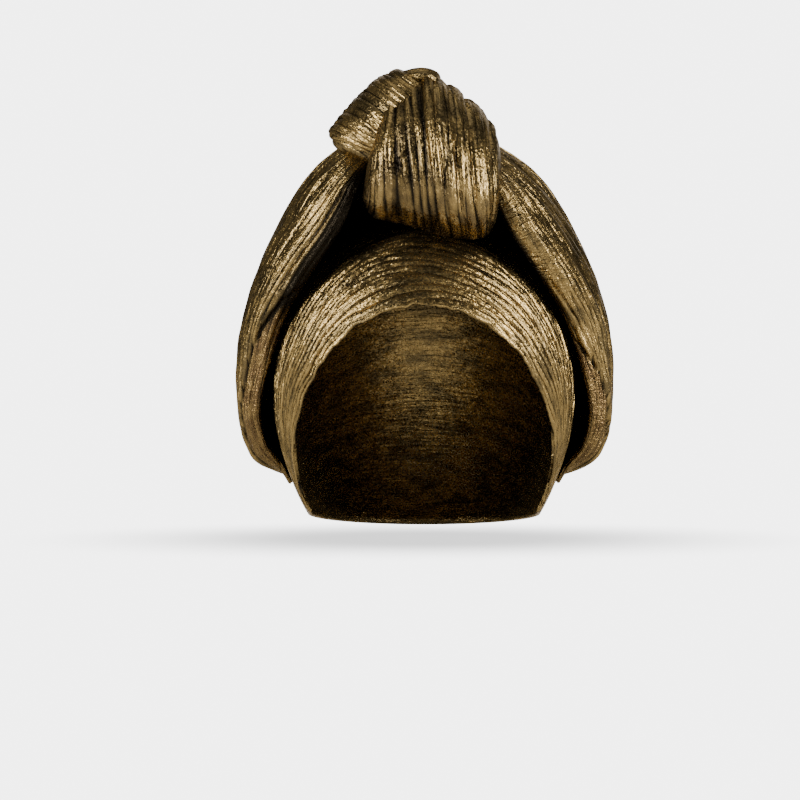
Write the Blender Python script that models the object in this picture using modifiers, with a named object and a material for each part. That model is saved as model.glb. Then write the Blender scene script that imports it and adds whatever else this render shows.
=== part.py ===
"""Tied gele head tie: one long crinkled cloth worn as a fitted cap, an outer wrap and a top knot.

Metres, +Z up, +X to the viewer's right, the front faces -Y. The origin is on the inside of the
crown, where the cloth bears on the head.
"""
import math

import bmesh
import bpy
import numpy as np
from mathutils import Vector

# The head form that the cap is wound on, measured from its widest level.
HALF_WIDTH = 0.0803
HALF_DEPTH = 0.0970
CROWN_RISE = 0.0900
NAPE_DROP = 0.1080

# Cloth and fit.
CLOTH = 0.0020
SEAT_GAP = 0.0004
ROOM_GAP = 0.0005
WELD = 0.00002
NORMAL_STEP = 0.002
SPAN = 0.1000

# Cap. Its creases lie in planes that fan out from the line joining the two tips behind the ears.
# The tips are given on a unit ball, the plane angles in degrees from straight back.
TIP_FORWARD = -0.22
TIP_HEIGHT = -0.61
CAP_FRONT_ANGLE = 121.3
CAP_FRONT_FLARE = 4.4
CAP_FLARE_REACH = 0.5
CAP_NAPE_ANGLE = -6.0
CAP_CREASED_ANGLE = 32.0
CAP_CREASES_END = 1.25
CAP_CREASES = 9
CAP_CREASE_HEIGHT = 0.0013
CAP_CREASE_FADE = 0.75
CAP_COLUMNS = 20
CAP_CREASED_ROWS = 36
CAP_PLAIN_ROWS = 14

# Wrap. A row per station from the nape to the knot. Each column is a share of SPAN: where the front
# edge lies, where the side bulges most, where the middle of the back lies.
WRAP_ROWS = (
    # edge_x, edge_y, edge_z, side_x, side_y, side_z, back_y, back_z
    (0.700, 0.100, -1.400, 0.745, 0.400, -1.450, 0.820, -1.600),
    (0.825, -0.050, -1.240, 0.900, 0.220, -1.290, 0.985, -1.290),
    (0.860, -0.180, -1.030, 0.990, 0.170, -1.085, 1.085, -0.970),
    (0.812, -0.270, -0.770, 1.008, 0.120, -0.800, 1.105, -0.620),
    (0.730, -0.400, -0.525, 0.970, 0.080, -0.495, 1.025, -0.260),
    (0.575, -0.550, -0.287, 0.857, 0.000, -0.185, 0.810, 0.060),
    (0.410, -0.620, -0.050, 0.652, -0.130, 0.165, 0.460, 0.325),
    (0.300, -0.600, 0.200, 0.405, -0.270, 0.375, 0.080, 0.455),
    (0.240, -0.500, 0.310, 0.300, -0.330, 0.400, -0.240, 0.460),
)
WRAP_LEFT_SHARE = 0.990
WRAP_LEFT_TOP_SHARE = 0.17
WRAP_LEFT_TOP_REACH = 0.30
WRAP_SEATED_SHARE = 0.16
WRAP_GATHERED_SHARE = 0.20
WRAP_HEM = 0.0065
WRAP_HEM_SHARE = 0.5
WRAP_HEM_REACH = 0.45
WRAP_NOSE_REACH = 0.09
WRAP_CURL = 0.0080
WRAP_CURL_REACH = 0.55
WRAP_CURL_START = 0.28
WRAP_CURL_FADE = 0.25
WRAP_CURL_END = 0.45
WRAP_CREASE_REACH = 0.30
WRAP_COLUMN_CROWDING = 1.5
WRAP_END_ROUNDING = 0.006
WRAP_CREASES = 20
WRAP_CREASE_HEIGHT = 0.0020
WRAP_SIDE_COLUMNS = 14
WRAP_BACK_COLUMNS = 26
WRAP_ROW_COUNT = 14

# Knot. A row per section across the knot. Each section is a closed turn of cloth in a plane seen
# edge on from the front, running from a top point to a low point; its depths are those of the
# top, the front bulge, the low turn and the back. All are shares of SPAN.
BAND_ROWS = (
    # top_x, top_z, low_x, low_z, top_y, front_y, low_y, back_y
    (-0.135, 0.725, -0.300, 0.070, -0.400, -0.760, -0.620, -0.180),
    (-0.110, 0.790, -0.240, 0.010, -0.420, -0.850, -0.620, -0.130),
    (0.000, 0.805, -0.070, -0.045, -0.420, -0.900, -0.620, -0.100),
    (0.110, 0.725, 0.080, -0.080, -0.400, -0.900, -0.620, -0.110),
    (0.220, 0.625, 0.210, -0.098, -0.390, -0.850, -0.600, -0.150),
    (0.310, 0.535, 0.300, -0.090, -0.380, -0.790, -0.590, -0.200),
    (0.365, 0.470, 0.345, -0.045, -0.380, -0.710, -0.560, -0.260),
)
BAND_END_ROUNDING = 0.06
BAND_CREASES = 8
BAND_CREASE_HEIGHT = 0.0015
BAND_COLUMNS = 34
BAND_ROUND = 26

LOBE_ROWS = (
    # top_x, top_z, low_x, low_z, top_y, front_y, low_y, back_y
    (-0.470, 0.425, -0.130, 0.270, -0.420, -0.580, -0.480, -0.260),
    (-0.490, 0.475, -0.100, 0.290, -0.410, -0.650, -0.520, -0.200),
    (-0.430, 0.555, -0.050, 0.330, -0.400, -0.700, -0.540, -0.160),
    (-0.340, 0.655, 0.000, 0.420, -0.400, -0.720, -0.540, -0.140),
    (-0.240, 0.745, 0.050, 0.520, -0.400, -0.690, -0.520, -0.160),
    (-0.160, 0.785, 0.080, 0.600, -0.400, -0.620, -0.500, -0.200),
)
LOBE_END_ROUNDING = 0.06
LOBE_CREASES = 6
LOBE_CREASE_HEIGHT = 0.0014
LOBE_COLUMNS = 26
LOBE_ROUND = 22

COLOURS = {
    "lame_first_layer": (0.210, 0.150, 0.060, 1.0),
    "lame_outer_layer": (0.250, 0.180, 0.075, 1.0),
}
SHEEN_METALLIC = 0.75
SHEEN_ROUGHNESS = 0.42


def clamp(value, low, high):
    return max(low, min(high, value))


def ease(share):
    share = clamp(share, 0.0, 1.0)
    return share * share * (3.0 - 2.0 * share)


def read_row(rows, share):
    """A smooth curve through the rows of a table, at a share of its length."""
    table = np.asarray(rows)
    place = clamp(share, 0.0, 1.0) * (len(table) - 1)
    index = min(int(place), len(table) - 2)
    part = place - index
    before = table[max(index - 1, 0)]
    start = table[index]
    end = table[index + 1]
    after = table[min(index + 2, len(table) - 1)]
    square = part * part
    cube = square * part
    return 0.5 * (
        2.0 * start
        + (end - before) * part
        + (2.0 * before - 5.0 * start + 4.0 * end - after) * square
        + (3.0 * start - before - 3.0 * end + after) * cube
    )


def on_head(direction, lift):
    """The point of the head form in a direction from its widest level, lifted off it."""
    drop = CROWN_RISE if direction[2] >= 0.0 else NAPE_DROP
    radii = np.array((HALF_WIDTH + lift, HALF_DEPTH + lift, drop + lift))
    unit = direction / radii
    return direction / np.linalg.norm(unit) + np.array((0.0, 0.0, -CROWN_RISE))


def cap_point(across, along):
    """The inside of the cap: across from left tip to right tip, along from front edge to nape."""
    side = 2.0 * across - 1.0
    flare = CAP_FRONT_FLARE * clamp(abs(side) / CAP_FLARE_REACH, 0.0, 1.0) ** 2
    front = CAP_FRONT_ANGLE + flare
    angle = math.radians(front + (CAP_NAPE_ANGLE - front) * along)
    toward = np.array((math.cos(angle), math.sin(angle)))
    tip = np.array((TIP_FORWARD, TIP_HEIGHT))
    reach = float(tip @ toward)
    foot = tip - reach * toward
    radius = math.sqrt(1.0 - float(foot @ foot))
    turn = side * math.acos(clamp(reach / radius, -1.0, 1.0))
    level = foot + radius * math.cos(turn) * toward
    rise = CROWN_RISE if level[1] >= 0.0 else NAPE_DROP
    return np.array((
        HALF_WIDTH * radius * math.sin(turn),
        HALF_DEPTH * level[0],
        rise * level[1] - CROWN_RISE,
    ))


def cap_crease(across, along):
    """Creases parallel to the front edge, dying away toward the tips and under the wrap."""
    side = abs(2.0 * across - 1.0)
    turned = along * (CAP_FRONT_ANGLE - CAP_NAPE_ANGLE) / CAP_CREASED_ANGLE
    wave = 0.5 - 0.5 * math.cos(2.0 * math.pi * CAP_CREASES * turned)
    kept = ease((1.0 - side) / CAP_CREASE_FADE)
    kept *= ease((CAP_CREASES_END - turned) / (CAP_CREASES_END - 1.0))
    return CAP_CREASE_HEIGHT * wave * kept


def cap_spacing(share):
    """Rows close together over the creases and wide apart behind them."""
    creased = CAP_CREASED_ROWS / (CAP_CREASED_ROWS + CAP_PLAIN_ROWS)
    creased_share = CAP_CREASES_END * CAP_CREASED_ANGLE / (CAP_FRONT_ANGLE - CAP_NAPE_ANGLE)
    if share < creased:
        return creased_share * share / creased
    return creased_share + (1.0 - creased_share) * (share - creased) / (1.0 - creased)


def hem_width(row):
    """The roll at the front edge, kept within half of the space between edge and side."""
    return clamp(WRAP_HEM_SHARE * SPAN * (row[3] - row[0]), CLOTH, WRAP_HEM)


def wrap_section(row, turn):
    """One half of a wrap section: turn is -1 at the front edge, 0 at the side, 1 at the back."""
    edge_x, edge_y, edge_z, side_x, side_y, side_z, back_y, back_z = row * SPAN
    reach = math.sin(0.5 * math.pi * abs(turn))
    fall = math.cos(0.5 * math.pi * abs(turn))
    if turn >= 0.0:
        return np.array((
            side_x * fall,
            side_y + (back_y - side_y) * reach,
            side_z + (back_z - side_z) * reach,
        ))
    start_x = edge_x + 0.5 * hem_width(row)
    return np.array((
        start_x + (side_x - start_x) * fall,
        side_y + (edge_y - side_y) * reach,
        side_z + (edge_z - side_z) * reach,
    ))


def rounded(share):
    """A half round nose: nothing at the end, full after one radius."""
    return math.sqrt(1.0 - (1.0 - clamp(share, 0.0, 1.0)) ** 2)


def wrap_turn(across):
    """Where a column lies on its half of the section; columns crowd toward the front edge."""
    half = 1.0 - abs(2.0 * across - 1.0)
    side = WRAP_SIDE_COLUMNS / (WRAP_SIDE_COLUMNS + WRAP_BACK_COLUMNS)
    if half < side:
        return (half / side) ** WRAP_COLUMN_CROWDING - 1.0
    return (half - side) / (1.0 - side)


def wrap_thickness(across, along):
    """Cloth thickness: the front edge is rolled under and thick, the ends are rounded off."""
    inward = 1.0 + wrap_turn(across)
    hem = (hem_width(read_row(WRAP_ROWS, along)) - CLOTH) * (1.0 - ease(inward / WRAP_HEM_REACH))
    end = min(along, 1.0 - along) / WRAP_END_ROUNDING
    return (CLOTH + hem) * rounded(inward / WRAP_NOSE_REACH) * rounded(end)


def wrap_curl(across, along):
    """How far the front edge turns back toward the head, on the arms only."""
    edge = clamp((WRAP_CURL_REACH - 1.0 - wrap_turn(across)) / WRAP_CURL_REACH, 0.0, 1.0)
    kept = ease((along - WRAP_CURL_START) / WRAP_CURL_FADE) * ease((1.0 - along) / WRAP_CURL_END)
    return WRAP_CURL * edge * edge * kept


def wrap_middle(across, along):
    """The middle of the cloth: across from right edge to left edge, along from nape to knot."""
    row = read_row(WRAP_ROWS, along)
    point = wrap_section(row, wrap_turn(across))
    point[1] += wrap_curl(across, along)
    if across > 0.5:
        top = ease((along - 1.0) / WRAP_LEFT_TOP_REACH + 1.0) * math.cos(0.5 * math.pi * wrap_turn(across))
        point[0] *= -(WRAP_LEFT_SHARE + WRAP_LEFT_TOP_SHARE * top)
    loose = ease(along / WRAP_SEATED_SHARE)
    hem = (hem_width(row) - CLOTH) * (1.0 - ease((1.0 + wrap_turn(across)) / WRAP_HEM_REACH))
    lift = CLOTH + SEAT_GAP + 0.5 * (CLOTH + hem) + CAP_CREASE_HEIGHT * loose
    offset = point - np.array((0.0, 0.0, -CROWN_RISE))
    seated = on_head(offset, lift)
    inside = np.linalg.norm(offset) < np.linalg.norm(seated - point + offset)
    return seated if inside else seated + (point - seated) * loose


def wrap_crease(across, along):
    """Creases along the arms from nape to knot, shallow where the cloth is gathered."""
    wave = crease_wave(across, WRAP_CREASES)
    kept = ease(along / WRAP_SEATED_SHARE) * ease((1.0 - along) / WRAP_GATHERED_SHARE)
    return WRAP_CREASE_HEIGHT * wave * kept * ease((1.0 + wrap_turn(across)) / WRAP_CREASE_REACH)


def wrap_rows(share):
    """Evenly spaced rows, with one more close to each end."""
    inner = clamp((share * WRAP_ROW_COUNT - 1.0) / (WRAP_ROW_COUNT - 2.0), 0.0, 1.0)
    if share <= 0.0 or share >= 1.0:
        return share
    return WRAP_END_ROUNDING + (1.0 - 2.0 * WRAP_END_ROUNDING) * inner


def wrap_skin(around, share):
    """The wrap's closed skin: round the outer face and back round the inner one."""
    along = wrap_rows(share)
    outer = around < 0.5
    across = 2.0 * around if outer else 2.0 - 2.0 * around
    swell = 0.5 * wrap_thickness(across, along)
    height = wrap_crease(across, along) + (swell if outer else -swell)
    return raised(wrap_middle, lambda u, v: height)(across, along)


def end_normal(upright, across):
    """Square to a section, pointing out at the nearer end of the knot."""
    normal = np.cross(upright, (0.0, 1.0, 0.0)) / np.linalg.norm(upright)
    return normal * math.copysign(1.0, 0.5 - across)


def turn_point(rows, rounding, across, around):
    """A point of a wound turn: across from end to end of the knot, around from the top back."""
    row = read_row(rows, clamp((across - rounding) / (1.0 - 2.0 * rounding), 0.0, 1.0)) * SPAN
    top_x, top_z, low_x, low_z, top_y, front_y, low_y, back_y = row
    end = min(across, 1.0 - across) / rounding
    fullness = math.sqrt(clamp(1.0 - (1.0 - clamp(end, 0.0, 1.0)) ** 2, 0.0, 1.0))
    angle = 2.0 * math.pi * around
    top = np.array((top_x, top_y, top_z))
    low = np.array((low_x, low_y, low_z))
    middle = 0.5 * (top + low)
    upright = 0.5 * (top - low)
    sideways = math.sin(angle)
    reach = (back_y if sideways > 0.0 else front_y) - middle[1]
    point = upright * math.cos(angle) + np.array((0.0, abs(sideways) * reach, 0.0))
    lean = end_normal(upright, across) * rounding * SPAN * (1.0 - clamp(end, 0.0, 1.0))
    return middle + point * fullness + lean


def crease_wave(share, count):
    return 0.5 - 0.5 * math.cos(2.0 * math.pi * count * share)


def raised(surface, crease, closed=False):
    """The surface pushed out along its normal by a crease height; closed if it runs on round."""
    step = NORMAL_STEP

    def place(across, along):
        height = crease(across, along)
        if height == 0.0:
            return surface(across, along)
        u = clamp(across, step, 1.0 - step)
        v = along if closed else clamp(along, step, 1.0 - step)
        run = surface(u + step, v) - surface(u - step, v)
        rise = surface(u, v + step) - surface(u, v - step)
        normal = np.cross(run, rise)
        length = np.linalg.norm(normal)
        if length > 0.0:
            normal = normal / length
        return surface(across, along) + normal * height

    return place


def new_object(name, mesh, material, collection):
    item = bpy.data.objects.new(name, mesh)
    collection.objects.link(item)
    for face in mesh.polygons:
        face.use_smooth = True
    if material is not None:
        mesh.materials.append(material)
    return item


def mapped_grid(name, across, along, place):
    """A grid laid onto a surface; edges that meet are welded."""
    grid = bmesh.new()
    bmesh.ops.create_grid(grid, x_segments=across, y_segments=along, size=0.5)
    for vert in grid.verts:
        vert.co = Vector(place(vert.co.x + 0.5, vert.co.y + 0.5))
    bmesh.ops.remove_doubles(grid, verts=grid.verts[:], dist=WELD)
    mesh = bpy.data.meshes.new(name)
    grid.to_mesh(mesh)
    grid.free()
    return mesh


def closed_turn(name, rows, rounding, columns, around, crease_height, creases):
    """A wound solid: the grid closes on itself round the turn and at both ends."""

    def surface(across, round_share):
        return turn_point(rows, rounding, across, round_share % 1.0)

    def crease(across, round_share):
        end = min(across, 1.0 - across) / rounding
        return crease_height * crease_wave(across, creases) * ease(end)

    return mapped_grid(name, columns, around, raised(surface, crease, closed=True))


def clearance(name, rows, rounding, columns, around, room):
    """The same turn without creases, swollen all round by the room left for it."""

    def place(across, round_share):
        if across < WELD or across > 1.0 - WELD:
            pole = turn_point(rows, rounding, across, 0.0)
            inner = turn_point(rows, rounding, clamp(across, rounding, 1.0 - rounding), 0.0)
            lower = turn_point(rows, rounding, clamp(across, rounding, 1.0 - rounding), 0.5)
            return pole + end_normal(inner - lower, across) * room
        return swollen(across, round_share)

    def surface(across, round_share):
        return turn_point(rows, rounding, across, round_share % 1.0)

    swollen = raised(surface, lambda across, round_share: room, closed=True)
    item = new_object(name, mapped_grid(name, columns, around, place), None, cutters)
    item.hide_render = True
    item.display_type = "WIRE"
    return item


def add_wall(item, thickness):
    wall = item.modifiers.new("cloth", "SOLIDIFY")
    wall.thickness = thickness
    wall.offset = 1.0
    wall.use_rim = True


def combine(item, other, operation):
    join = item.modifiers.new(other.name, "BOOLEAN")
    join.operation = operation
    join.solver = "EXACT"
    join.object = other


def cloth_material(name):
    material = bpy.data.materials.new(name)
    material.use_nodes = True
    shader = material.node_tree.nodes["Principled BSDF"]
    shader.inputs["Base Color"].default_value = COLOURS[name]
    shader.inputs["Metallic"].default_value = SHEEN_METALLIC
    shader.inputs["Roughness"].default_value = SHEEN_ROUGHNESS
    return material


for old in list(bpy.data.objects):
    bpy.data.objects.remove(old, do_unlink=True)

parts = bpy.data.collections.new("gele_head_tie")
cutters = bpy.data.collections.new("cutters")
bpy.context.scene.collection.children.link(parts)
bpy.context.scene.collection.children.link(cutters)

first_layer = cloth_material("lame_first_layer")
outer_layer = cloth_material("lame_outer_layer")


def cap_on_rows(across, share):
    return raised(cap_point, cap_crease)(across, cap_spacing(share))


cap = new_object(
    "cap",
    mapped_grid("cap", CAP_COLUMNS, CAP_CREASED_ROWS + CAP_PLAIN_ROWS, cap_on_rows),
    first_layer,
    parts,
)
add_wall(cap, CLOTH)

wrap_columns = 4 * (WRAP_SIDE_COLUMNS + WRAP_BACK_COLUMNS)
wrap = new_object(
    "wrap",
    mapped_grid("wrap", wrap_columns, WRAP_ROW_COUNT, wrap_skin),
    outer_layer,
    parts,
)

band_turn = (BAND_ROWS, BAND_END_ROUNDING, BAND_COLUMNS, BAND_ROUND)
lobe_turn = (LOBE_ROWS, LOBE_END_ROUNDING, LOBE_COLUMNS, LOBE_ROUND)
knot_band = new_object(
    "knot_band",
    closed_turn("knot_band", *band_turn, BAND_CREASE_HEIGHT, BAND_CREASES),
    outer_layer,
    parts,
)
knot_lobe = new_object(
    "knot_lobe",
    closed_turn("knot_lobe", *lobe_turn, LOBE_CREASE_HEIGHT, LOBE_CREASES),
    outer_layer,
    parts,
)

band_room = clearance("band_room", *band_turn, BAND_CREASE_HEIGHT + ROOM_GAP)
lobe_room = clearance("lobe_room", *lobe_turn, LOBE_CREASE_HEIGHT + ROOM_GAP)
knot_room = clearance("knot_room", *band_turn, BAND_CREASE_HEIGHT + ROOM_GAP)
combine(knot_room, lobe_room, "UNION")
combine(knot_lobe, band_room, "DIFFERENCE")
combine(wrap, knot_room, "DIFFERENCE")
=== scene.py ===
import math

import bmesh
import bpy
import numpy as np
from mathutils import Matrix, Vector, noise


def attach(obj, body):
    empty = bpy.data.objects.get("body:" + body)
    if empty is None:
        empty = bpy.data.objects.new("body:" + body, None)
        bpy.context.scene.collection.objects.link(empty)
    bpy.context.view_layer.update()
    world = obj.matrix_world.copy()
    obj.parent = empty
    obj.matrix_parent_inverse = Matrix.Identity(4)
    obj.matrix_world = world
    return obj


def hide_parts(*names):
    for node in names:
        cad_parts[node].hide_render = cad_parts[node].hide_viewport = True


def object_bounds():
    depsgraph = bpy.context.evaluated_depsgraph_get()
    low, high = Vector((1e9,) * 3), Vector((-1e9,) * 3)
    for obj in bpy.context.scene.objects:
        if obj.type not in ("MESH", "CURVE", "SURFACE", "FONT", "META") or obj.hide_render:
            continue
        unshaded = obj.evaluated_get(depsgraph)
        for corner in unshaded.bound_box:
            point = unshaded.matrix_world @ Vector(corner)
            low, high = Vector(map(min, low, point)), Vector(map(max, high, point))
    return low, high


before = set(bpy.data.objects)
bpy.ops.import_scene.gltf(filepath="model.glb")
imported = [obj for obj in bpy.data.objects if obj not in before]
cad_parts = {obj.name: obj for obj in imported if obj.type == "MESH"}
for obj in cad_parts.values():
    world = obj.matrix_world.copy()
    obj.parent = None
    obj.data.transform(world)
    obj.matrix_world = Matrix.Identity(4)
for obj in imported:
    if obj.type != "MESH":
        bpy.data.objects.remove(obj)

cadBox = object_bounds()
print("frame loaded:", ", ".join(sorted(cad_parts)))


# Camera, as in the photograph: straight on and level.
cameraView = {
    "away": 1.50,  # from the plane of the cap's front to the lens
    "capFront": -0.080,  # where that plane lies along Y
    "height": -0.0958,  # the level that falls on the photograph's middle row
    "pixels": 800,  # the photograph's width
    "metresAPixel": 0.00052,  # in the plane of the cap's front
    "pixelsAside": 24,  # the head tie's middle lies this far right of the picture's middle
    "sensor": 36.0,
    "clipStart": 0.05,
    "aimRise": 0.07,  # the lights aim this far above the camera's height
}

frameWidth = cameraView["metresAPixel"] * cameraView["pixels"]
cameraData = bpy.data.cameras.new("eyeLevel")
cameraData.sensor_width = cameraView["sensor"]
cameraData.lens = cameraView["sensor"] * cameraView["away"] / frameWidth
cameraData.shift_x = -cameraView["pixelsAside"] / cameraView["pixels"]
cameraData.clip_start = cameraView["clipStart"]
camera = bpy.data.objects.new("eyeLevel", cameraData)
camera.location = (0, cameraView["capFront"] - cameraView["away"], cameraView["height"])
camera.rotation_euler = (math.radians(90), 0, 0)
bpy.context.scene.collection.objects.link(camera)
bpy.context.scene.camera = camera
print("camera set")


# The form that the cap is wound on, as in the CAD model: half of an ellipsoid over its widest
# level and half of a longer one under it.
headForm = {
    "halfWidth": 0.0803,
    "halfDepth": 0.0970,
    "crownRise": 0.0900,
    "napeDrop": 0.1080,
}
span = 0.1000  # the rows of the wrap and of the knot are shares of this length
normalStep = 0.002  # share of a surface between the places that give its normal
weldGap = 0.000001  # vertices closer than this are one
gridDigits = 6  # the grid's shares are rounded to this, so that poles and seams close

# How ribs and folds are pressed. Widths are in spacings of the wave, lengths in its lengths.
waveForm = {
    "noiseReach": 1.6,  # brings the noise to about -1 to 1
    "wanderWide": 6,
    "unevenWide": 1.7,
    "unevenLong": 2.5,
    "unevenShare": 0.30,
    "unevenSeed": 11.3,
    "sharpness": 0.65,  # under 1 gives round tops and narrow creases
    "tallWide": 0.9,
    "tallLong": 0.4,
    "tallSeed": 3.1,
    "tallMiddle": 0.82,
    "tallShare": 0.25,
    "lowest": 0.35,
    "ribSeed": 20,
    "minorWide": 0.45,  # of a rib's spacing
    "minorLong": 2.6,
    "minorSeed": 5.7,
    "smoothUnshaded": 0.4,  # where the cloth is smooth, folds get less painted shade
    "smoothLow": 0.65,  # and folds are lower
    # painted shade in creases: the foil is darkened toward the dark ground where ribs and folds dip
    "unshadedScale": 1.15,
    "unshadedOnRib": 0.6,  # painted crease shade: the foil a rib keeps by itself, and what a fold under it adds
    "unshadedOnFold": 0.4,
    "unshadedOnMinor": 0.10,
}


def ease(share):
    share = np.clip(share, 0, 1)
    return share * share * (3 - 2 * share)


def rounded(share):
    # a half round end: nothing at 0, full from 1 on
    return np.sqrt(1 - (1 - np.clip(share, 0, 1)) ** 2)


def readRows(rows, share):
    # a smooth curve through the rows of a table, at each share of its length
    table = np.asarray(rows)
    place = np.clip(share, 0, 1) * (len(table) - 1)
    index = np.minimum(place.astype(int), len(table) - 2)
    part = (place - index)[:, None]
    before = table[np.maximum(index - 1, 0)]
    start = table[index]
    end = table[index + 1]
    after = table[np.minimum(index + 2, len(table) - 1)]
    bend = 2 * before - 5 * start + 4 * end - after
    twist = 3 * start - before - 3 * end + after
    return 0.5 * (2 * start + (end - before) * part + bend * part**2 + twist * part**3)


def points(x, y, z):
    return np.stack((x, y, z), axis=1)


def softNoise(x, y, seed):
    # smooth noise from about -1 to 1 at each place
    values = [noise.noise((a, b, seed)) for a, b in zip(x.tolist(), y.tolist())]
    return np.array(values) * waveForm["noiseReach"]


def pressedWaves(across, along, spacing, drift, length, seed):
    # waves from 0 to 1 with round tops and narrow creases, no two alike, wandering as they run
    form = waveForm
    wander = softNoise(across / (form["wanderWide"] * spacing), along / length, seed)
    unevenPlace = across / (form["unevenWide"] * spacing), along / (form["unevenLong"] * length)
    uneven = softNoise(*unevenPlace, seed + form["unevenSeed"])
    phase = (across + drift * wander) / spacing + form["unevenShare"] * uneven
    wave = np.abs(np.sin(math.pi * phase)) ** form["sharpness"]
    tallPlace = phase * form["tallWide"], along / (form["tallLong"] * length)
    tall = form["tallMiddle"] + form["tallShare"] * softNoise(*tallPlace, seed + form["tallSeed"])
    return wave * np.clip(tall, form["lowest"], 1)


def placedFolds(across, along, look):
    # round folds between creases at the places in the table, wandering as they run: the wave,
    # its height and the share of its foil left by painted shade
    starts, heights, unshaded = zip(*look["folds"])
    wander = softNoise(across / look["foldWander"], along / look["foldLength"], look["seed"])
    place = (across + look["foldDrift"] * wander) / look["acrossRibs"]
    edges = np.append(starts, 1.0)
    index = np.clip(np.searchsorted(starts, place, side="right") - 1, 0, len(starts) - 1)
    part = np.clip((place - edges[index]) / (edges[index + 1] - edges[index]), 0, 1)
    return np.sqrt(4 * part * (1 - part)), np.asarray(heights)[index], np.asarray(unshaded)[index]


def crinkle(across, along, look, smooth=0):
    # metres of height for broad folds with pressed ribs on them, and the share of foil left by
    # painted shade in the creases, partly the dark ground showing; the folds are lower where the
    # cloth is smooth
    form = waveForm
    seed = look["seed"]
    spacing = look["ribSpacing"]
    if "folds" in look:
        fold, foldHeight, unshaded = placedFolds(across, along, look)
    else:
        unshaded = 1.0
        foldWave = look["foldSpacing"], look["foldDrift"], look["foldLength"]
        fold = pressedWaves(across, along, *foldWave, seed)
        foldHeight = look["foldHeight"]
    ribWave = spacing, look["ribDrift"], look["ribLength"]
    rib = pressedWaves(across, along, *ribWave, seed + form["ribSeed"])
    minorPlace = across / (form["minorWide"] * spacing), along / (form["minorLong"] * spacing)
    minor = softNoise(*minorPlace, seed + form["minorSeed"])
    unshaded = unshaded + (1 - unshaded) * form["smoothUnshaded"] * smooth
    foldHeight = foldHeight * (1 - form["smoothLow"] * smooth)
    height = foldHeight * fold + look["ribHeight"] * rib + look["minorHeight"] * minor
    # painted crease shade, partly the dark ground showing between ribs
    unshadedFoil = form["unshadedScale"] * rib * (form["unshadedOnRib"] + form["unshadedOnFold"] * fold) * unshaded
    unshadedFoil = np.clip(unshadedFoil + form["unshadedOnMinor"] * minor, 0, 1)
    return height, unshadedFoil


def raised(surface, across, along, height, closed=False):
    # the surface moved out along its normal
    step = normalStep
    u = np.clip(across, step, 1 - step)
    v = along if closed else np.clip(along, step, 1 - step)
    run = surface(u + step, v) - surface(u - step, v)
    rise = surface(u, v + step) - surface(u, v - step)
    normal = np.cross(run, rise)
    length = np.linalg.norm(normal, axis=1)
    normal = normal / np.maximum(length, 1e-12)[:, None]
    return surface(across, along) + normal * height[:, None]


def layCloth(columns, rows, place):
    # a grid laid on a surface; place gives positions, cloth coordinates and tones for the material
    cloth = bmesh.new()
    bmesh.ops.create_grid(cloth, x_segments=columns, y_segments=rows, size=0.5)
    cloth.verts.ensure_lookup_table()
    shares = np.array([(vert.co.x + 0.5, vert.co.y + 0.5) for vert in cloth.verts])
    shares = np.round(shares, gridDigits)
    where, flat, tones = place(shares[:, 0], shares[:, 1])
    for key in tones:
        cloth.verts.layers.float.new(key)
    layers = {key: cloth.verts.layers.float[key] for key in tones}
    uv = cloth.loops.layers.uv.new("cloth")
    for face in cloth.faces:
        for loop in face.loops:
            loop[uv].uv = flat[loop.vert.index]
    for index, vert in enumerate(cloth.verts):
        vert.co = Vector(where[index])
        for key, layer in layers.items():
            vert[layer] = tones[key][index]
    bmesh.ops.remove_doubles(cloth, verts=cloth.verts[:], dist=weldGap)
    return cloth


def finishCloth(name, cloth, material):
    # the piece, smoothly shaded, at rest in the frame
    mesh = bpy.data.meshes.new(name)
    cloth.to_mesh(mesh)
    cloth.free()
    for face in mesh.polygons:
        face.use_smooth = True
    mesh.materials.append(material)
    piece = bpy.data.objects.new(name, mesh)
    bpy.context.scene.collection.objects.link(piece)
    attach(piece, "root")
    print(name, len(mesh.polygons), "faces")
    return piece


# Crinkled lame: polyester cloth woven with flat metallic yarn, pleated wet and pressed. The yarn
# mirrors the lights in long broken glints; creases and low pleats are painted toward the dark
# ground, partly the ground showing and partly painted shade.
lameLook = {
    "foil": "#826C42",
    "foilWorn": "#584A2F",
    # the cloth's dark ground, also the colour of the painted shade in creases
    "groundAndShade": "#16120C",
    # the warm tone of cloth turned in, also used for painted warm bounce light
    "turned": "#58442B",
    "rim": "#E6D9C4",  # the foil seen edge on: pale gold, not white
    "metallic": 0.95,
    "roughness": (0.17, 0.36),  # the smoothest and the roughest yarn
    "noiseRoughness": 0.6,
    # wide, long, detail and distortion of each noise
    "pleat": (0.0013, 0.0260, 2.0, 0.0),  # one fine pleat, across the ribs and along them
    "fine": (0.0008, 0.0026, 3.0, 0.4),
    "wear": (0.0060, 0.0200, 3.0, 0.0),
    "cross": (0.0090, 0.0022, 2.0, 0.3),  # wrinkles where the cloth is pulled round a bend
    "yarn": (0.00055, 0.00099),  # yarns are 0.3 mm apart: drawn coarser, so that they show
    "facet": 0.14,  # how far single yarns tilt
    "fineDepth": 0.00022,
    "pleatDepth": 0.00045,
    "crossDepth": 0.0016,
    # from what value to what value, and what these give
    # the first two set the painted shade in creases and in low pleats
    "creaseShadeRange": (0.10, 0.34, 0.0, 1.0),
    "pleatShadeRange": (0.28, 0.42, 0.45, 1.0),
    "worn": (0.42, 0.62, 0.0, 1.0),
    "turnedShare": (0.3, 0.6, 0.35, 0.8),
}


def linearColour(hexColour):
    # an sRGB hex colour as linear red, green, blue and alpha
    shares = [int(hexColour[i:i + 2], 16) / 255 for i in (1, 3, 5)]
    return [s / 12.92 if s <= 0.04045 else ((s + 0.055) / 1.055) ** 2.4 for s in shares] + [1.0]


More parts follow.
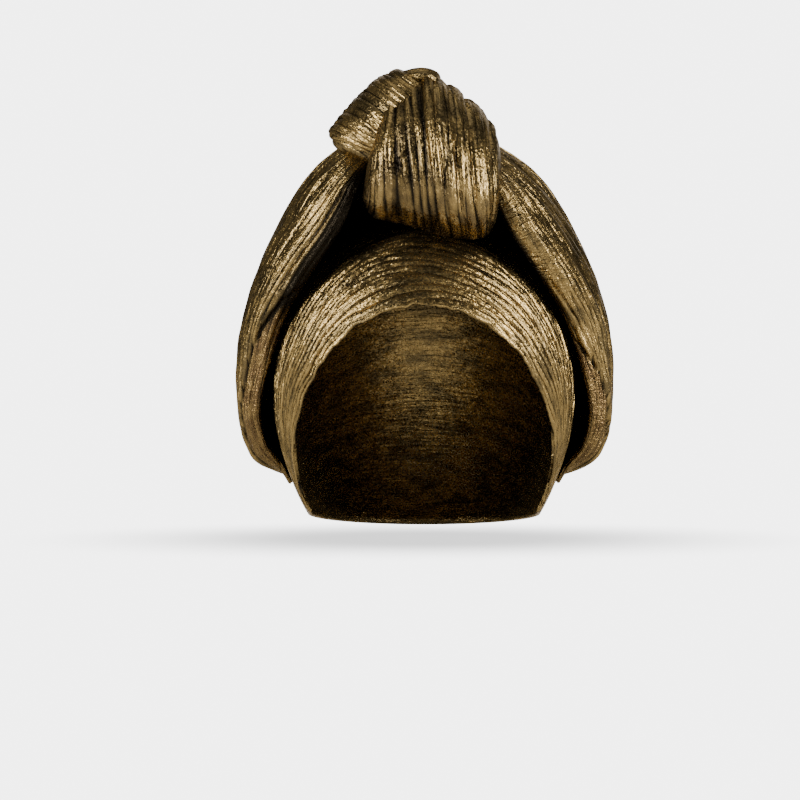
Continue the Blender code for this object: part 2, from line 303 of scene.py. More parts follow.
def addNode(tree, kind, settings=None, values=None, links=None):
    # one node with its settings, its constant inputs and the sockets linked to it
    node = tree.nodes.new(kind)
    for key, value in (settings or {}).items():
        setattr(node, key, value)
    for key, value in (values or {}).items():
        node.inputs[key].default_value = value
    for key, socket in (links or {}).items():
        tree.links.new(socket, node.inputs[key])
    return node


def crinkledLame(name, look):
    material = bpy.data.materials.new(name)
    material.use_nodes = True
    tree = material.node_tree
    shader = tree.nodes["Principled BSDF"]
    place = addNode(tree, "ShaderNodeTexCoord").outputs["UV"]

    def stretched(wide, long):
        scale = (1 / wide, 1 / long, 1)
        return addNode(tree, "ShaderNodeMapping", {}, {"Scale": scale}, {"Vector": place}).outputs[0]

    def streaks(wide, long, detail, distortion):
        return addNode(
            tree, "ShaderNodeTexNoise", {"noise_dimensions": "2D"},
            {
                "Scale": 1.0,
                "Detail": detail,
                "Roughness": look["noiseRoughness"],
                "Distortion": distortion,
            },
            {"Vector": stretched(wide, long)},
        ).outputs["Fac"]

    def between(low, high, start, end, socket):
        return addNode(
            tree, "ShaderNodeMapRange", {},
            {"From Min": low, "From Max": high, "To Min": start, "To Max": end},
            {"Value": socket},
        ).outputs[0]

    def blend(first, second, factor):
        node = addNode(tree, "ShaderNodeMix", {"data_type": "RGBA"}, {}, {"Factor": factor})
        for key, side in ((6, first), (7, second)):  # the node's two colour inputs
            if isinstance(side, str):
                node.inputs[key].default_value = linearColour(side)
            else:
                tree.links.new(side, node.inputs[key])
        return node.outputs[2]

    def times(first, second):
        return addNode(
            tree, "ShaderNodeMath", {"operation": "MULTIPLY"}, {}, {0: first, 1: second}
        ).outputs[0]

    pleat = streaks(*look["pleat"])
    fine = streaks(*look["fine"])
    wear = streaks(*look["wear"])
    yarn = addNode(
        tree, "ShaderNodeTexVoronoi", {"voronoi_dimensions": "2D"},
        {"Scale": 1.0, "Randomness": 1.0}, {"Vector": stretched(*look["yarn"])},
    )
    yarnTones = addNode(tree, "ShaderNodeSeparateColor", {}, {}, {0: yarn.outputs["Color"]}).outputs
    creaseShade = addNode(tree, "ShaderNodeAttribute", {"attribute_name": "creaseShade"}).outputs["Fac"]
    turnedIn = addNode(tree, "ShaderNodeAttribute", {"attribute_name": "turnedIn"}).outputs["Fac"]
    crossed = addNode(tree, "ShaderNodeAttribute", {"attribute_name": "crossed"}).outputs["Fac"]
    cross = times(streaks(*look["cross"]), crossed)

    # painted shade: the foil darkens toward the dark ground in creases and low pleats, partly the
    # ground showing
    foilOutOfShade = times(between(*look["creaseShadeRange"], creaseShade), between(*look["pleatShadeRange"], pleat))
    foil = blend(look["foil"], look["foilWorn"], between(*look["worn"], wear))
    # a warm tone on the wrap's turned-in edges, partly painted bounce light, and painted warm bounce
    # light on the knot's lower side
    turnedShare = times(turnedIn, between(*look["turnedShare"], wear))
    warm = blend(foil, look["turned"], turnedShare)
    tree.links.new(blend(look["groundAndShade"], warm, foilOutOfShade), shader.inputs["Base Color"])
    roughness = between(0.0, 1.0, *look["roughness"], yarnTones[2])
    tree.links.new(roughness, shader.inputs["Roughness"])
    shader.inputs["Metallic"].default_value = look["metallic"]
    shader.inputs["Specular Tint"].default_value = linearColour(look["rim"])

    # every yarn is a small facet, on the fine crinkle, on the pleats
    tilt = addNode(
        tree, "ShaderNodeCombineColor", {}, {2: 1.0}, {0: yarnTones[0], 1: yarnTones[1]}
    ).outputs[0]
    normal = addNode(
        tree, "ShaderNodeNormalMap", {"uv_map": "cloth"}, {"Strength": look["facet"]},
        {"Color": tilt},
    ).outputs[0]
    for height, key in ((fine, "fineDepth"), (pleat, "pleatDepth"), (cross, "crossDepth")):
        normal = addNode(
            tree, "ShaderNodeBump", {}, {"Strength": 1.0, "Distance": look[key]},
            {"Height": height, "Normal": normal},
        ).outputs[0]
    tree.links.new(normal, shader.inputs["Normal"])
    return material


lame = crinkledLame("crinkled gold lame, woven and pressed", lameLook)
print("cloth finish made")


# The cap: first layer, wound flat on the head, its ribs parallel to the front edge.
capCloth = {
    "tipForward": -0.22,  # the two tips at the sides' low front, on a unit ball
    "tipHeight": -0.61,
    "frontAngle": 121.3,  # planes through the tips, in degrees from straight back
    "frontFlare": 4.4,  # the front edge turns back this much more toward the tips
    "flareReach": 0.5,
    "napeAngle": -6.0,
    "creasedAngle": 40.0,  # the creased cloth that shows, back from the front edge
    "creasedFade": 0.04,
    "plainUnshaded": 0.8,  # the share of foil the plain cloth behind it keeps, free of painted crease shade
    "columns": 240,
    "creasedRows": 116,
    "plainRows": 44,
    "thickness": 0.0018,
    "alongRibs": 0.330,  # from tip to tip
    "acrossRibs": 0.250,  # from the front edge to the nape
    "foldSpacing": 0.0085,
    "foldDrift": 0.0050,
    "foldLength": 0.070,
    "foldHeight": 0.0007,
    "ribSpacing": 0.0041,
    "ribDrift": 0.0030,
    "ribLength": 0.055,
    "ribHeight": 0.0018,
    "minorHeight": 0.00022,
    "tipFade": 0.30,  # creases get lower toward the tips, down to this share
    "tipKept": 0.25,
    "tipClosed": 0.03,  # and go out over the last of the way, so that each tip is one point
    "hemWide": 0.0032,  # the front edge, folded under
    "hemRise": 0.0007,
    "hemFlat": 0.7,
    "edgeWander": 0.0009,  # how far the front edge strays from a plane
    "edgeWaves": ((0.011, 1.0, 4.4), (0.004, 0.6, 6.4)),  # length, share and seed
    "edgeReach": 0.010,
    "seed": 2.0,
}


def capPoint(across, along):
    # the inside of the cap: across from left tip to right tip, along from front edge to nape
    side = 2 * across - 1
    flare = capCloth["frontFlare"] * np.clip(np.abs(side) / capCloth["flareReach"], 0, 1) ** 2
    front = capCloth["frontAngle"] + flare
    angle = np.radians(front + (capCloth["napeAngle"] - front) * along)
    forward = np.cos(angle)
    upward = np.sin(angle)
    reach = capCloth["tipForward"] * forward + capCloth["tipHeight"] * upward
    footForward = capCloth["tipForward"] - reach * forward
    footUp = capCloth["tipHeight"] - reach * upward
    radius = np.sqrt(1 - footForward**2 - footUp**2)
    turn = side * np.arccos(np.clip(reach / radius, -1, 1))
    levelForward = footForward + radius * np.cos(turn) * forward
    levelUp = footUp + radius * np.cos(turn) * upward
    rise = np.where(levelUp >= 0, headForm["crownRise"], headForm["napeDrop"])
    return points(
        headForm["halfWidth"] * radius * np.sin(turn),
        headForm["halfDepth"] * levelForward,
        rise * levelUp - headForm["crownRise"],
    )


creasedReach = capCloth["creasedAngle"] / (capCloth["frontAngle"] - capCloth["napeAngle"])


def capRows(share):
    # rows close together over the part that shows, wider apart behind it
    dense = capCloth["creasedRows"] / (capCloth["creasedRows"] + capCloth["plainRows"])
    front = creasedReach * share / dense
    behind = creasedReach + (1 - creasedReach) * (share - dense) / (1 - dense)
    return np.where(share < dense, front, behind)


def placeCap(across, share):
    # the creased cloth of the cap, with its hem at the front edge
    along = capRows(share)
    tipAway = 1 - np.abs(2 * across - 1)
    flatAcross = across * capCloth["alongRibs"]
    flatAlong = along * capCloth["acrossRibs"]
    height, unshadedFoil = crinkle(flatAlong, flatAcross, capCloth)
    hidden = ease((along - creasedReach) / capCloth["creasedFade"])
    kept = ease(tipAway / capCloth["tipFade"]) * (1 - capCloth["tipKept"]) + capCloth["tipKept"]
    kept = kept * (1 - hidden) * ease(tipAway / capCloth["tipClosed"])
    unshadedFoil = unshadedFoil + (capCloth["plainUnshaded"] - unshadedFoil) * hidden
    edge = 1 - ease(flatAlong / capCloth["hemWide"])
    height = height * kept * (1 - capCloth["hemFlat"] * edge) + capCloth["hemRise"] * edge
    wander = 0
    for length, part, seed in capCloth["edgeWaves"]:
        wander = wander + part * softNoise(flatAcross / length, flatAcross * 0, seed)
    nearEdge = 1 - ease(flatAlong / capCloth["edgeReach"])
    along = along + wander * capCloth["edgeWander"] / capCloth["acrossRibs"] * nearEdge
    where = raised(capPoint, across, along, height)
    flat = np.stack((flatAlong, flatAcross), axis=1)
    return where, flat, {"creaseShade": unshadedFoil}


capRowCount = capCloth["creasedRows"] + capCloth["plainRows"]
capMesh = layCloth(capCloth["columns"], capRowCount, placeCap)
bmesh.ops.recalc_face_normals(capMesh, faces=capMesh.faces[:])
crinkledCap = finishCloth("crinkledCap", capMesh, lame)
wall = crinkledCap.modifiers.new("cloth", "SOLIDIFY")
wall.thickness = capCloth["thickness"]
wall.offset = 0.0
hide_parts("cap")


# The wrap: outer layer, from the nape round both sides of the head to the knot.
# Columns: front edge x, y, z; fullest part of the side x, y, z; middle of the back y, z.
wrapCloth = {
    "rows": (
        (0.700, 0.100, -1.400, 0.745, 0.400, -1.450, 0.820, -1.600),
        (0.825, -0.050, -1.240, 0.900, 0.220, -1.290, 0.985, -1.290),
        (0.860, -0.180, -1.030, 0.990, 0.170, -1.085, 1.085, -0.970),
        (0.812, -0.270, -0.770, 1.008, 0.120, -0.800, 1.105, -0.620),
        (0.730, -0.400, -0.525, 0.970, 0.080, -0.495, 1.025, -0.260),
        (0.575, -0.550, -0.287, 0.857, 0.000, -0.185, 0.810, 0.060),
        (0.410, -0.620, -0.050, 0.652, -0.130, 0.165, 0.460, 0.325),
        (0.300, -0.600, 0.200, 0.405, -0.270, 0.375, 0.080, 0.455),
        (0.240, -0.500, 0.310, 0.300, -0.330, 0.400, -0.240, 0.460),
    ),
    "leftShare": 0.990,  # the left side's width, as a share of the right side's
    "leftTopShare": 0.17,  # the left arm stands further out below the knot
    "leftTopReach": 0.30,
    "seatedShare": 0.16,  # the low part of the wrap, seated on the cap
    "cloth": 0.0020,
    "seatGap": 0.0004,
    "capRib": 0.0013,
    "hem": 0.0065,  # the roll at the front edges
    "hemShare": 0.5,
    "hemReach": 0.45,
    "noseReach": 0.09,
    "curl": 0.0080,  # the arms' front edges turn back toward the cap
    "curlReach": 0.55,
    "curlStart": 0.28,
    "curlFade": 0.25,
    "curlEnd": 0.45,
    "endRounding": 0.006,
    "sideColumns": 14,  # columns of the CAD model, which place the side between edge and back
    "backColumns": 26,
    "crowding": 1.5,  # columns stand closer together toward the front edges
    "outerColumns": 440,
    "innerColumns": 120,
    "rowCount": 150,
    "frontWidth": 0.052,  # from a front edge to the side
    "backWidth": 0.150,  # from the side to the middle of the back
    "alongRibs": 0.290,  # from nape to knot
    "foldSpacing": 0.0120,
    "foldDrift": 0.0080,
    "foldLength": 0.110,
    "foldHeight": 0.0016,
    "ribSpacing": 0.0046,
    "ribDrift": 0.0040,
    "ribLength": 0.130,
    "ribHeight": 0.0018,
    "minorHeight": 0.00022,
    "topFade": 0.2,  # creases go out toward the top and the front edges
    "edgeFade": 0.3,
    "seed": 7.0,
    # where the front edge is folded in: share of the way up, and how far in the fold line lies
    "rightFold": (
        (0.00, 0.90), (0.20, 0.84), (0.26, 0.54), (0.375, 0.22), (0.48, 0.0), (0.60, -0.30),
    ),
    "leftFold": (
        (0.05, 0.95), (0.19, 0.72), (0.305, 0.47), (0.46, 0.27), (0.57, 0.16), (0.66, -0.20),
    ),
    "foldStart": (-0.05, 0.15),  # the fold shows from this far in, over this much
    "foldRise": 0.12,  # and from the nape up over this much
    "foldLip": 0.0016,  # the cloth outside the fold line stands over the part turned in
    "lipStart": (-0.02, 0.06),
    "lipEnd": (0.05, 0.35),
    "foldGroove": 0.0008,
    "grooveWide": 0.035,
    # painted shade along the groove of the fold line
    "grooveShade": 0.8,
    "foldEdge": 0.15,
    "turnedStart": (-0.05, 0.06),
    "crossRight": 0.8,  # how far the part turned in is wrinkled, on each arm
    "crossLeft": 0.3,
    # the right arm is drawn tight over a ridge below the knot
    "pulledLow": (0.52, 0.12),  # share of the way up where it starts, and over how much
    "pulledHigh": (0.95, 0.1),
    "pulledIn": (0.35, 0.4),
    "pulledFlat": 0.30,
    # the pulled cloth is painted lighter, with less crease shade, as a painted highlight
    "pulledLit": 0.60,
    "pulledRidge": 0.0035,
    "ridgeIn": 0.22,
    "ridgeWide": 0.16,
    # painted shade on the arms' inner side, which the knot and cap keep from the lights: where it
    # ends on each arm, and over how much
    "shadeRight": (0.06, 0.12),
    "shadeLeft": (0.14, 0.30),
    "shadeLow": (0.42, 0.15),
    "innerShade": 0.90,
}


def onHead(direction, lift):
    # the point of the head form in a direction from its widest level, lifted off it
    drop = np.where(direction[:, 2] >= 0, headForm["crownRise"], headForm["napeDrop"])
    radii = points(headForm["halfWidth"] + lift, headForm["halfDepth"] + lift, drop + lift)
    unit = np.linalg.norm(direction / radii, axis=1)
    return direction / unit[:, None] + np.array((0, 0, -headForm["crownRise"]))


def hemWidth(row):
    # the roll at the front edge, kept within half of the space between edge and side
    room = wrapCloth["hemShare"] * span * (row[:, 3] - row[:, 0])
    return np.clip(room, wrapCloth["cloth"], wrapCloth["hem"])


def wrapTurn(across):
    # -1 at a front edge, 0 at the side, 1 at the middle of the back
    half = 1 - np.abs(2 * across - 1)
    side = wrapCloth["sideColumns"] / (wrapCloth["sideColumns"] + wrapCloth["backColumns"])
    front = (np.minimum(half, side) / side) ** wrapCloth["crowding"] - 1
    return np.where(half < side, front, (half - side) / (1 - side))


def wrapRoll(row, inward, along):
    # how much thicker than the cloth the rolled front edge is
    roll = (hemWidth(row) - wrapCloth["cloth"]) * (1 - ease(inward / wrapCloth["hemReach"]))
    return roll * ease(along / wrapCloth["seatedShare"])


def wrapCurl(turn, along):
    # how far the front edge is turned back
    edge = np.clip((wrapCloth["curlReach"] - 1 - turn) / wrapCloth["curlReach"], 0, 1)
    low = ease((along - wrapCloth["curlStart"]) / wrapCloth["curlFade"])
    return wrapCloth["curl"] * edge**2 * low * ease((1 - along) / wrapCloth["curlEnd"])


def within(value, zone):
    # from 0 to 1 over a zone, given as its start and its width
    start, width = zone
    return ease((value - start) / width)


def wrapFold(across, along):
    # distance outside the fold line of the edge turned in, and how plain the fold is there
    right = np.interp(along, *zip(*wrapCloth["rightFold"]))
    left = np.interp(along, *zip(*wrapCloth["leftFold"]))
    line = np.where(across < 0.5, right, left)
    plain = within(line, wrapCloth["foldStart"]) * ease(along / wrapCloth["foldRise"])
    return 1 + wrapTurn(across) - line, plain


def wrapMiddle(across, along):
    # the middle of the wrap's thickness
    row = readRows(wrapCloth["rows"], along)
    edgeX, edgeY, edgeZ, sideX, sideY, sideZ, backY, backZ = (row * span).T
    turn = wrapTurn(across)
    reach = np.sin(0.5 * math.pi * np.abs(turn))
    fall = np.cos(0.5 * math.pi * np.abs(turn))
    behind = turn >= 0
    startX = edgeX + 0.5 * hemWidth(row)
    x = np.where(behind, sideX * fall, startX + (sideX - startX) * fall)
    y = sideY + (np.where(behind, backY, edgeY) - sideY) * reach
    z = sideZ + (np.where(behind, backZ, edgeZ) - sideZ) * reach
    y = y + wrapCurl(turn, along)
    top = ease((along - 1) / wrapCloth["leftTopReach"] + 1) * fall
    left = wrapCloth["leftShare"] + wrapCloth["leftTopShare"] * top
    x = np.where(across > 0.5, -left * x, x)
    point = points(x, y, z)
    loose = ease(along / wrapCloth["seatedShare"])
    roll = wrapRoll(row, 1 + turn, along)
    lift = wrapCloth["cloth"] + wrapCloth["seatGap"] + 0.5 * (wrapCloth["cloth"] + roll)
    lift = lift + wrapCloth["capRib"] * loose
    offset = point - np.array((0, 0, -headForm["crownRise"]))
    seated = onHead(offset, lift)
    inside = np.linalg.norm(offset, axis=1) < np.linalg.norm(seated - point + offset, axis=1)
    share = np.where(inside, 0, loose)[:, None]
    return seated + (point - seated) * share


def wrapGrid(around, share):
    # around the wrap's section: over the outside from edge to edge, and back along the inside
    outerShare = wrapCloth["outerColumns"] / (wrapCloth["outerColumns"] + wrapCloth["innerColumns"])
    outer = around < outerShare
    across = np.where(outer, around / outerShare, (1 - around) / (1 - outerShare))
    first = share <= 0
    last = share >= 1
    shared = np.round(across * wrapCloth["innerColumns"]) / wrapCloth["innerColumns"]
    across = np.where(first | last, shared, across)  # both sides share the vertices at an end
    inner = 1 - 2 * wrapCloth["endRounding"]
    rowStep = 1 / wrapCloth["rowCount"]
    along = np.clip((share - rowStep) / (1 - 2 * rowStep), 0, 1)
    along = wrapCloth["endRounding"] + inner * along
    return outer, across, np.where(first, 0, np.where(last, 1, along))


def wrapFlat(across, along, inward):
    # where each place lies on the cloth laid flat
    halfWidth = wrapCloth["frontWidth"] * np.minimum(inward, 1)
    halfWidth = halfWidth + wrapCloth["backWidth"] * np.maximum(inward - 1, 0)
    total = 2 * (wrapCloth["frontWidth"] + wrapCloth["backWidth"])
    return np.where(across < 0.5, halfWidth, total - halfWidth), along * wrapCloth["alongRibs"]


def placeWrap(around, share):
    # creases, folds and the rolled edge, on both sides of the cloth
    outer, across, along = wrapGrid(around, share)
    onRight = across < 0.5
    inward = 1 + wrapTurn(across)
    roll = wrapRoll(readRows(wrapCloth["rows"], along), inward, along)
    end = rounded(np.minimum(along, 1 - along) / wrapCloth["endRounding"])
    thickness = (wrapCloth["cloth"] + roll) * rounded(inward / wrapCloth["noseReach"]) * end
    flatAcross, flatAlong = wrapFlat(across, along, inward)
    height, unshadedFoil = crinkle(flatAcross, flatAlong, wrapCloth)

    lowPull = within(along, wrapCloth["pulledLow"])
    highStart, highWidth = wrapCloth["pulledHigh"]
    highPull = ease((highStart - along) / highWidth)
    pulled = lowPull * highPull * (1 - within(inward, wrapCloth["pulledIn"]))
    pulled = np.where(onRight, pulled, 0)
    ridge = np.exp(-(((inward - wrapCloth["ridgeIn"]) / wrapCloth["ridgeWide"]) ** 2))
    height = height * (1 - wrapCloth["pulledFlat"] * pulled)
    height = height + wrapCloth["pulledRidge"] * pulled * ridge
    # painted highlight: the pulled cloth loses most of its painted crease shade
    unshadedFoil = unshadedFoil + (1 - unshadedFoil) * wrapCloth["pulledLit"] * pulled

    outside, plain = wrapFold(across, along)
    groove = np.exp(-((outside / wrapCloth["grooveWide"]) ** 2)) * plain
    lipStart = within(outside, wrapCloth["lipStart"])
    lip = lipStart * (1 - within(outside, wrapCloth["lipEnd"])) * plain
    fold = wrapCloth["foldLip"] * lip - wrapCloth["foldGroove"] * groove
    fold = fold * ease(inward / wrapCloth["foldEdge"]) * end
    kept = ease(along / wrapCloth["seatedShare"]) * ease((1 - along) / wrapCloth["topFade"])
    kept = kept * ease(inward / wrapCloth["edgeFade"])
    lift = height * kept + np.where(outer, fold + 0.5 * thickness, -0.5 * thickness)
    where = raised(wrapMiddle, across, along, lift)

    # the turned-in edge: its wrinkles, and a warm tone that is partly painted bounce light
    turned = plain * (1 - within(outside, wrapCloth["turnedStart"]))
    rightCross = np.maximum(wrapCloth["crossRight"] * turned, pulled)
    crossed = np.where(onRight, rightCross, wrapCloth["crossLeft"] * turned)
    # painted shade over each arm's inner side, from the edge in
    rightShade = 1 - within(inward, wrapCloth["shadeRight"])
    leftShade = 1 - within(inward, wrapCloth["shadeLeft"])
    innerShade = np.where(onRight, rightShade, leftShade) * within(along, wrapCloth["shadeLow"])
    # painted shade along the fold's groove and over the arms' inner side
    unshaded = (1 - wrapCloth["grooveShade"] * groove) * (1 - wrapCloth["innerShade"] * innerShade)
    flat = np.stack((flatAcross, flatAlong), axis=1)
    return where, flat, {"creaseShade": unshadedFoil * unshaded, "turnedIn": turned, "crossed": crossed}


wrapColumnCount = wrapCloth["outerColumns"] + wrapCloth["innerColumns"]
wrapMesh = layCloth(wrapColumnCount, wrapCloth["rowCount"], placeWrap)
crinkledWrap = finishCloth("crinkledWrap", wrapMesh, lame)
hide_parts("wrap")


# The knot: turns of cloth wound one over the other.
# Columns: top x, z; low x, z; top y, front y, low y, back y.
knotBandCloth = {
    "rows": (
        (-0.135, 0.710, -0.300, 0.070, -0.400, -0.760, -0.620, -0.180),
        (-0.110, 0.755, -0.240, 0.010, -0.420, -0.850, -0.620, -0.130),
        (0.000, 0.765, -0.070, -0.045, -0.420, -0.900, -0.620, -0.100),
        (0.110, 0.710, 0.080, -0.080, -0.400, -0.900, -0.620, -0.110),
        (0.220, 0.625, 0.210, -0.098, -0.390, -0.850, -0.600, -0.150),
        (0.310, 0.535, 0.300, -0.090, -0.380, -0.790, -0.590, -0.200),
        (0.365, 0.470, 0.345, -0.045, -0.380, -0.710, -0.560, -0.260),
    ),
    "endRounding": 0.06,
    "columns": 230,
    "around": 240,
    "acrossRibs": 0.062,
    "alongRibs": 0.220,
    # where each fold starts as a share of the way across, its height, and the share of its foil left
    # by painted shade
    "folds": (
        (0.000, 0.0030, 0.95),
        (0.215, -0.0016, 0.30),
        (0.420, 0.0024, 0.95),
        (0.490, 0.0022, 0.62),
        (0.590, 0.0030, 0.85),
        (0.700, 0.0036, 1.00),
        (0.890, 0.0028, 0.90),
    ),
    "foldLean": 0.15,  # the folds fan out from the top left
    "foldWander": 0.020,
    "foldDrift": 0.0012,
    "foldLength": 0.060,
    "ribSpacing": 0.0036,
    "ribDrift": 0.0025,
    "ribLength": 0.045,
    "ribHeight": 0.0007,
    "minorHeight": 0.00020,
    "smoothBelow": (0.56, 0.74),  # the front is smoother near its lower edge, at 0.5
    "lengthwise": False,
    "seed": 12.0,
}
knotLobeCloth = {
    "rows": (
        (-0.470, 0.425, -0.130, 0.270, -0.420, -0.580, -0.480, -0.260),
        (-0.490, 0.475, -0.100, 0.290, -0.410, -0.650, -0.520, -0.200),
        (-0.430, 0.555, -0.050, 0.330, -0.400, -0.700, -0.540, -0.160),
        (-0.340, 0.655, 0.000, 0.420, -0.400, -0.720, -0.540, -0.140),
        (-0.240, 0.745, 0.050, 0.520, -0.400, -0.690, -0.520, -0.160),
        (-0.160, 0.785, 0.080, 0.600, -0.400, -0.620, -0.500, -0.200),
    ),
    "endRounding": 0.06,
    "columns": 180,
    "around": 190,
    "acrossRibs": 0.046,
    "alongRibs": 0.150,
    "foldSpacing": 0.0082,
    "foldDrift": 0.0060,
    "foldLength": 0.060,
    "foldHeight": 0.0013,
    "ribSpacing": 0.0028,
    "ribDrift": 0.0025,
    "ribLength": 0.060,
    "ribHeight": 0.0010,
    "minorHeight": 0.00018,
    "smoothBelow": (0.40, 0.50),
    "foldLean": 0.0,
    "lengthwise": False,
    "seed": 19.0,
}
knotTipCloth = {
    "rows": (
        (-0.215, 0.715, -0.190, 0.660, -0.420, -0.500, -0.460, -0.340),
        (-0.130, 0.772, -0.110, 0.700, -0.430, -0.560, -0.480, -0.330),
        (-0.050, 0.797, -0.045, 0.718, -0.430, -0.580, -0.490, -0.330),
        (0.015, 0.800, 0.005, 0.715, -0.430, -0.590, -0.490, -0.330),
        (0.060, 0.785, 0.040, 0.690, -0.430, -0.580, -0.490, -0.340),
    ),
    "endRounding": 0.05,
    "columns": 90,
    "around": 90,
    "acrossRibs": 0.030,
    "alongRibs": 0.034,
    "lengthwise": True,
    "smoothBelow": (0.40, 0.50),
    "foldLean": 0.0,
    "foldSpacing": 0.0068,
    "foldDrift": 0.0030,
    "foldLength": 0.040,
    "foldHeight": 0.0008,
    "ribSpacing": 0.0017,
    "ribDrift": 0.0018,
    "ribLength": 0.030,
    "ribHeight": 0.0006,
    "minorHeight": 0.00012,
    "seed": 26.0,
}


turnForm = {
    "leanMiddle": 0.04,  # brings the leaning folds to their places at the front
    "seamReach": 0.05,
    "smoothStart": (0.40, 0.1),  # the smooth part starts just behind the lower edge
    "smoothShade": 0.52,  # there the foil is painted darker, as shade on the lower side
    "smoothBounce": 0.55,  # and it is painted warmer, as warm bounce light from below
}


def turnPoint(look, across, around):
    # across from end to end of the knot, around from the top backward
    rounding = look["endRounding"]
    row = readRows(look["rows"], (across - rounding) / (1 - 2 * rounding)) * span
    topX, topZ, lowX, lowZ, topY, frontY, lowY, backY = row.T
    end = np.clip(np.minimum(across, 1 - across) / rounding, 0, 1)
    angle = 2 * math.pi * around
    top = points(topX, topY, topZ)
    low = points(lowX, lowY, lowZ)
    middle = 0.5 * (top + low)
    upright = 0.5 * (top - low)
    sideways = np.sin(angle)
    reach = np.where(sideways > 0, backY, frontY) - middle[:, 1]
    bulge = points(0 * reach, np.abs(sideways) * reach, 0 * reach)
    point = upright * np.cos(angle)[:, None] + bulge
    normal = np.cross(upright, (0, 1, 0)) / np.linalg.norm(upright, axis=1)[:, None]
    lean = normal * (np.where(across < 0.5, 1, -1) * rounding * span * (1 - end))[:, None]
    return middle + point * rounded(end)[:, None] + lean


def placeTurn(look):
    # creased cloth on one turn of the knot; its ribs run around it, or from end to end of it
    def surface(across, around):
        return turnPoint(look, across, around % 1.0)

    def place(across, around):
        lean = 0.5 * np.cos(2 * math.pi * around) + turnForm["leanMiddle"]
        lean = look["foldLean"] * lean
        flatAcross = (across + lean) * look["acrossRibs"]
        flatAlong = around * look["alongRibs"]
        seam = ease(np.minimum(around, 1 - around) / turnForm["seamReach"])
        low, high = look["smoothBelow"]
        smooth = 1 - ease((around - low) / (high - low))
        smooth = smooth * within(around, turnForm["smoothStart"])
        if look["lengthwise"]:
            height, unshadedFoil = crinkle(flatAlong, flatAcross, look)
            height = height * seam
            flat = np.stack((flatAlong, flatAcross), axis=1)
        else:
            height, unshadedFoil = crinkle(flatAcross, flatAlong * seam, look, smooth)
            flat = np.stack((flatAcross, flatAlong), axis=1)
        end = ease(np.minimum(across, 1 - across) / look["endRounding"])
        where = raised(surface, across, around, height * end, closed=True)
        # painted shade on the knot's lower side
        shadedBelow = unshadedFoil * (1 - turnForm["smoothShade"] * smooth)
        # painted warm bounce light on the knot's lower side
        return where, flat, {"creaseShade": shadedBelow, "turnedIn": turnForm["smoothBounce"] * smooth}

    return place


def windTurn(name, look):
    # one turn of the knot, packed with the cloth wound inside it
    cloth = layCloth(look["columns"], look["around"], placeTurn(look))
    piece = finishCloth(name, cloth, lame)
    return piece


knotBand = windTurn("knotBand", knotBandCloth)
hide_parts("knot_band")
knotLobe = windTurn("knotLobe", knotLobeCloth)
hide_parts("knot_lobe")
windTurn("knotTip", knotTipCloth)  # a hump over the top of the knot, finer than the solids are


# Studio: a pale floor that fades into a pale backdrop, and large soft lights to both sides.
studio = {
    "floorRadius": 1.6,
    "floorColour": "#F2F1EE",
    "floorSides": 96,
    "floorDrop": 0.004,  # the floor lies this far below the lowest cloth
    "shadowReach": (0.05, 0.24),  # darkest under the piece, gone further out
    "shadowShare": 0.30,  # what is left of the floor's brightness there
    "backdrop": 5.0,  # as the lens sees it
    "fill": 0.10,  # as the cloth sees it
    "lights": (  # name, place, width, height, watts
        ("leftSoftbox", (-1.36, -0.86, 0.45), 0.35, 1.4, 60),
        ("rightSoftbox", (1.36, -0.86, 0.45), 0.35, 1.4, 70),
        ("topSoftbox", (0.00, 0.25, 1.45), 1.0, 1.0, 5),
        ("frontSoftbox", (0.00, -2.20, -0.60), 0.8, 0.8, 3),
        ("backSoftbox", (0.20, 1.50, 0.35), 1.2, 1.2, 4),
    ),
}


def addLight(name, place, width, height, watts):
    data = bpy.data.lights.new(name, "AREA")
    data.shape = "RECTANGLE"
    data.size = width
    data.size_y = height
    data.energy = watts
    light = bpy.data.objects.new(name, data)
    light.location = place
    aim = Vector((0, 0, cameraView["height"] + cameraView["aimRise"])) - Vector(place)
    light.rotation_euler = aim.to_track_quat("-Z", "Y").to_euler()
    bpy.context.scene.collection.objects.link(light)


for lightRow in studio["lights"]:
    addLight(*lightRow)

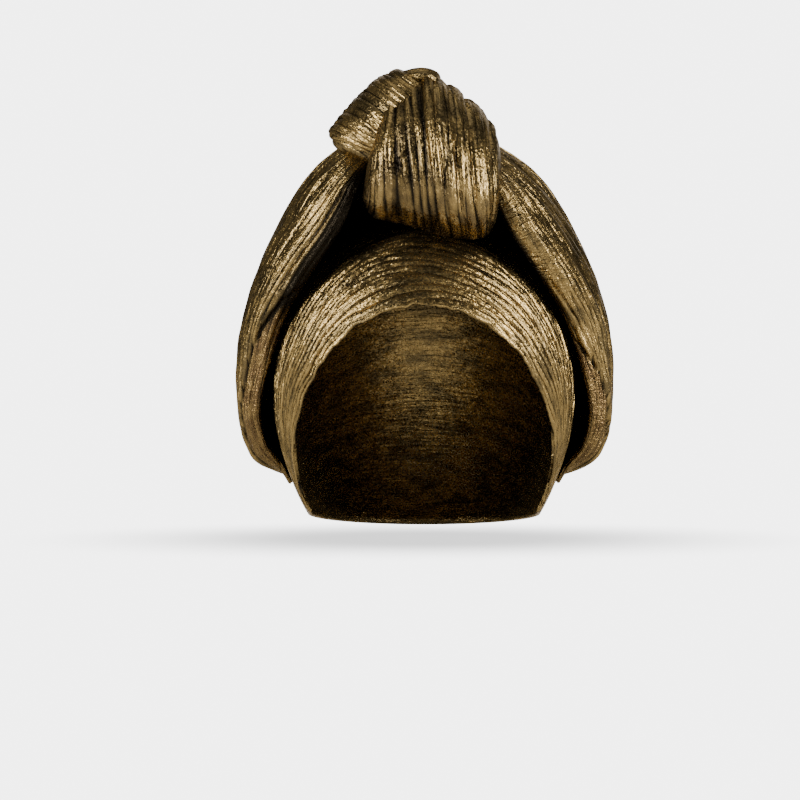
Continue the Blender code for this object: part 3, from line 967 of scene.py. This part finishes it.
world = bpy.context.scene.world or bpy.data.worlds.new("studio")
bpy.context.scene.world = world
world.use_nodes = True
worldTree = world.node_tree
worldTree.nodes.clear()
seen = addNode(worldTree, "ShaderNodeLightPath").outputs["Is Camera Ray"]
dim, pale = [
    addNode(worldTree, "ShaderNodeBackground", {}, {"Color": (1, 1, 1, 1), "Strength": studio[key]})
    for key in ("fill", "backdrop")
]
both = addNode(
    worldTree, "ShaderNodeMixShader", {}, {}, {0: seen, 1: dim.outputs[0], 2: pale.outputs[0]}
)
addNode(worldTree, "ShaderNodeOutputWorld", {}, {}, {0: both.outputs[0]})

floorMesh = bmesh.new()
bmesh.ops.create_circle(
    floorMesh, cap_ends=True, segments=studio["floorSides"], radius=studio["floorRadius"]
)
floorData = bpy.data.meshes.new("floor")
floorMesh.to_mesh(floorData)
floorMesh.free()
floor = bpy.data.objects.new("floor", floorData)
floor.location.z = cadBox[0][2] - studio["floorDrop"]
bpy.context.scene.collection.objects.link(floor)

floorPaint = bpy.data.materials.new("matt painted board")
floorPaint.use_nodes = True
floorTree = floorPaint.node_tree
floorTree.nodes.clear()
fromMiddle = addNode(
    floorTree, "ShaderNodeVectorMath", {"operation": "LENGTH"}, {},
    {0: addNode(floorTree, "ShaderNodeTexCoord").outputs["Object"]},
).outputs["Value"]
# the lens sees the floor as bright as the backdrop, but for a soft shadow under the piece
nearest, furthest = studio["shadowReach"]
glow = addNode(
    floorTree, "ShaderNodeMapRange", {"interpolation_type": "SMOOTHSTEP"},
    {
        "From Min": nearest,
        "From Max": furthest,
        "To Min": studio["backdrop"] * studio["shadowShare"],
        "To Max": studio["backdrop"],
    },
    {"Value": fromMiddle},
).outputs[0]
bright = addNode(floorTree, "ShaderNodeEmission", {}, {}, {"Strength": glow}).outputs[0]
paint = addNode(
    floorTree, "ShaderNodeBsdfDiffuse", {}, {"Color": linearColour(studio["floorColour"])}
).outputs[0]
byLens = addNode(floorTree, "ShaderNodeLightPath").outputs["Is Camera Ray"]
board = addNode(floorTree, "ShaderNodeMixShader", {}, {}, {0: byLens, 1: paint, 2: bright})
addNode(floorTree, "ShaderNodeOutputMaterial", {}, {}, {0: board.outputs[0]})
floorData.materials.append(floorPaint)
print("studio set")
